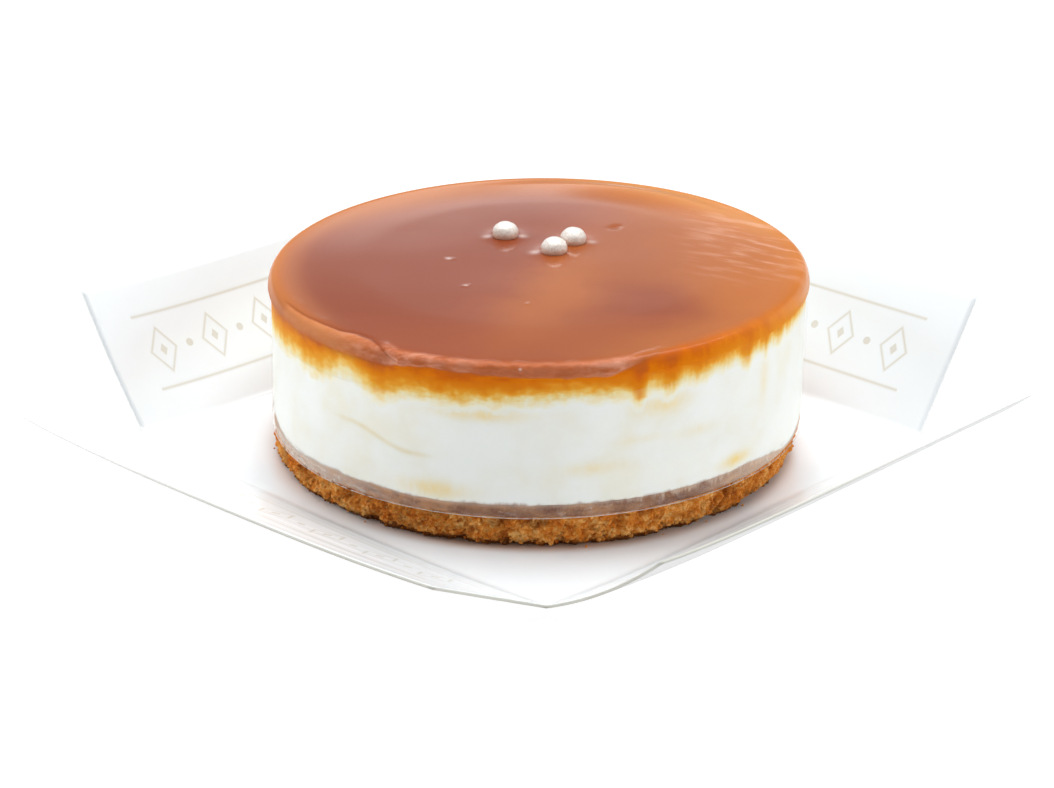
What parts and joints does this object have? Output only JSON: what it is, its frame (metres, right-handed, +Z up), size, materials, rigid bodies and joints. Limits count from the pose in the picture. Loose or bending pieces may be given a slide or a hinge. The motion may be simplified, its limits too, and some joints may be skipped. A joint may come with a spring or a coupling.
{
  "type": "round caramel cheesecake on a card tray",
  "caption": "Small round cheesecake with biscuit crust, cream layer, glossy caramel top and sugar pearls, wrapped in clear film on an open folded card tray.",
  "frame": {"origin": "middle of the flat underside of the tray's square base", "axes": "+Z up through the cake, X and Y along the tray's sides; the picture looks over the corner between +X and -Y"},
  "size_m": [0.1478, 0.1512, 0.0392],
  "materials": {
    "card": "coated white card, semi-gloss",
    "biscuit": "pressed golden-brown biscuit crumb, rough and matte",
    "cream": "smooth white cheese cream, soft sheen",
    "caramel": "set glossy caramel, amber, slightly see-through at its edge",
    "pearl": "pearly sugar coating",
    "film": "clear glossy film"
  },
  "bodies": {
    "root": {"card_tray": "card", "biscuit_crust": "biscuit", "cream_layer": "cream", "caramel_topping": "caramel", "film_collar": "film"}
  },
  "joints": []
}
